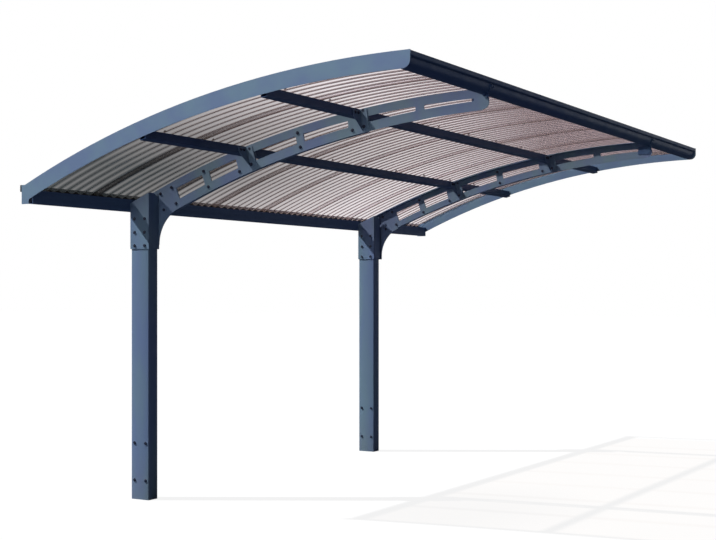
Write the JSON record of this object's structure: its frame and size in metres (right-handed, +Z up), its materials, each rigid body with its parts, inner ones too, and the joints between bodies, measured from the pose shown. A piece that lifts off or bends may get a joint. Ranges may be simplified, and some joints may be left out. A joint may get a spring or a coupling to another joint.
{
  "type": "cantilever carport",
  "caption": "Open-sided carport: a shallow curved corrugated roof cantilevered from two posts on slotted tapered arms, with purlins, gutter, front rail and end fascias",
  "frame": {"origin": "centre of the near post's foot, at ground level", "axes": "+X along the roof from the near end (short overhang) to the far end, -Y to the open side under the front rail, +Z up"},
  "size_m": [5, 2.58, 2.5],
  "materials": {
    "frame_paint": "satin blue-grey powder coat on steel",
    "rail_paint": "satin blue-grey coating on aluminium extrusions",
    "sheet_plastic": "clear bronze-tinted polycarbonate",
    "anchor_steel": "galvanised steel"
  },
  "bodies": {
    "root": {"post_near": "frame_paint", "post_far": "frame_paint", "foot_anchor_near": "anchor_steel", "foot_anchor_far": "anchor_steel", "head_near": "frame_paint", "head_far": "frame_paint", "arm_near": "frame_paint", "arm_far": "frame_paint", "arm_channel_near": "frame_paint", "arm_channel_far": "frame_paint", "purlin_rear": "rail_paint", "purlin_front": "rail_paint", "purlin_brackets_near": "frame_paint", "purlin_brackets_far": "frame_paint", "rear_gutter": "rail_paint", "front_rail": "rail_paint", "rail_strap_near": "frame_paint", "rail_strap_far": "frame_paint", "fascia_near": "rail_paint", "fascia_far": "rail_paint", "roof_sheet_1": "sheet_plastic", "roof_sheet_2": "sheet_plastic", "roof_sheet_3": "sheet_plastic", "roof_sheet_4": "sheet_plastic", "roof_sheet_5": "sheet_plastic", "roof_sheet_6": "sheet_plastic", "roof_sheet_7": "sheet_plastic", "roof_sheet_8": "sheet_plastic"}
  },
  "joints": []
}
